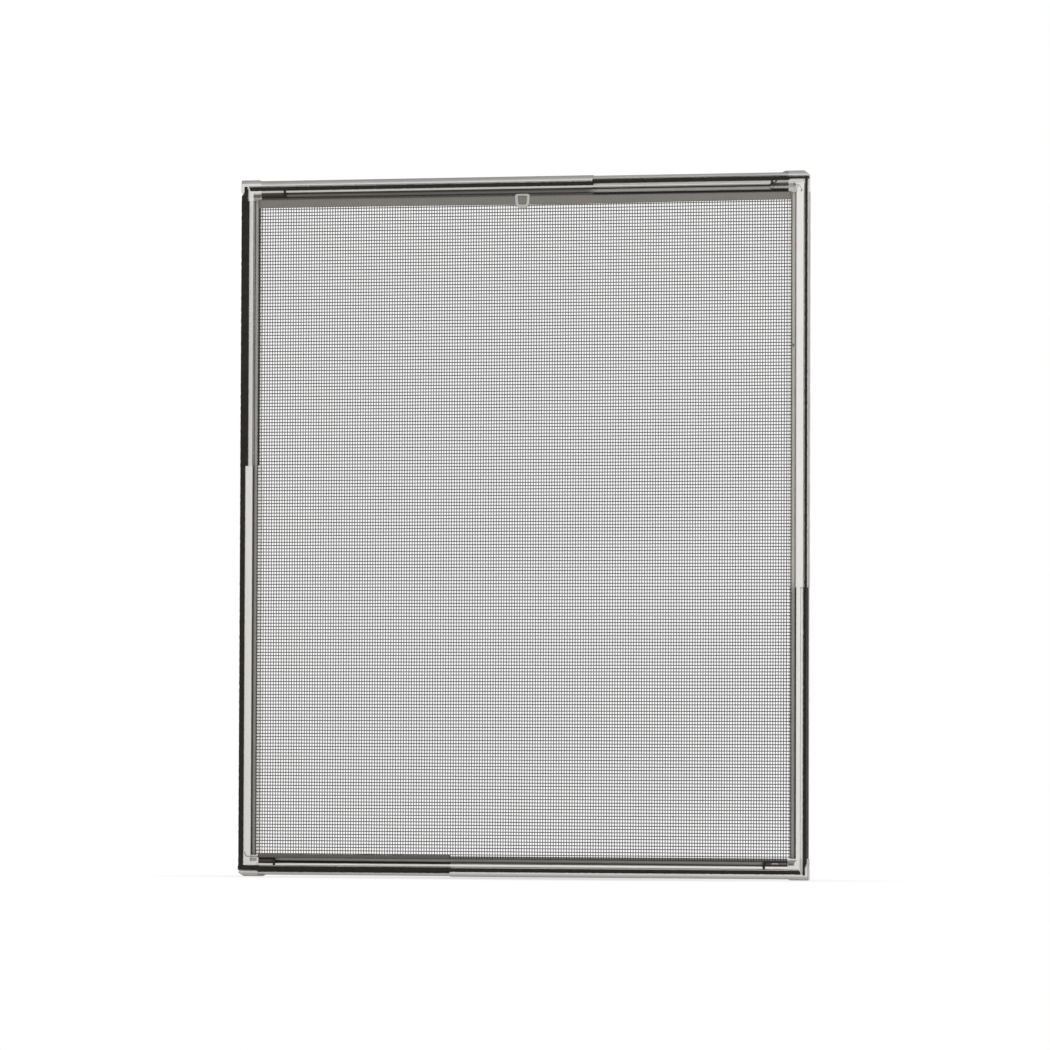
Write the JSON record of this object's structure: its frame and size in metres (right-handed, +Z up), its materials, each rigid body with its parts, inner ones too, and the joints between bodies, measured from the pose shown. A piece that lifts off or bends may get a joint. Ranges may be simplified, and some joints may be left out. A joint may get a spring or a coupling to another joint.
{
  "type": "window screen frame",
  "caption": "Telescoping window insect screen: nested rolled bars, moulded corners, black pile seals, spline-held mesh and a ring pull tab.",
  "frame": {"origin": "under the middle of the frame, at the bottom of the corner caps and half the depth", "axes": "+X to the right seen from the front, +Y to the back, +Z up along the stiles"},
  "size_m": [0.582, 0.012, 0.702],
  "materials": {
    "bar_paint": "satin off-white coating on rolled sheet",
    "corner_plastic": "fine moulded texture",
    "seal_pile": "dense black pile",
    "spline_vinyl": "soft grey vinyl",
    "clip_nylon": "dark moulded nylon",
    "mesh_yarn": "coated glass yarn",
    "tab_plastic": "light grey moulding"
  },
  "bodies": {
    "root": {"top_left_corner": "corner_plastic", "top_right_corner": "corner_plastic", "bottom_right_corner": "corner_plastic", "bottom_left_corner": "corner_plastic", "top_outer_bar": "bar_paint", "top_outer_seal": "seal_pile", "top_inner_bar": "bar_paint", "top_inner_seal": "seal_pile", "top_spline": "spline_vinyl", "right_outer_bar": "bar_paint", "right_outer_seal": "seal_pile", "right_inner_bar": "bar_paint", "right_inner_seal": "seal_pile", "right_spline": "spline_vinyl", "bottom_outer_bar": "bar_paint", "bottom_outer_seal": "seal_pile", "bottom_inner_bar": "bar_paint", "bottom_inner_seal": "seal_pile", "bottom_spline": "spline_vinyl", "left_outer_bar": "bar_paint", "left_outer_seal": "seal_pile", "left_inner_bar": "bar_paint", "left_inner_seal": "seal_pile", "left_spline": "spline_vinyl", "top_outer_lock_clip": "clip_nylon", "top_inner_lock_clip": "clip_nylon", "bottom_outer_lock_clip": "clip_nylon", "bottom_inner_lock_clip": "clip_nylon", "mesh_warp": "mesh_yarn", "mesh_weft": "mesh_yarn", "pull_tab": "tab_plastic"}
  },
  "joints": []
}
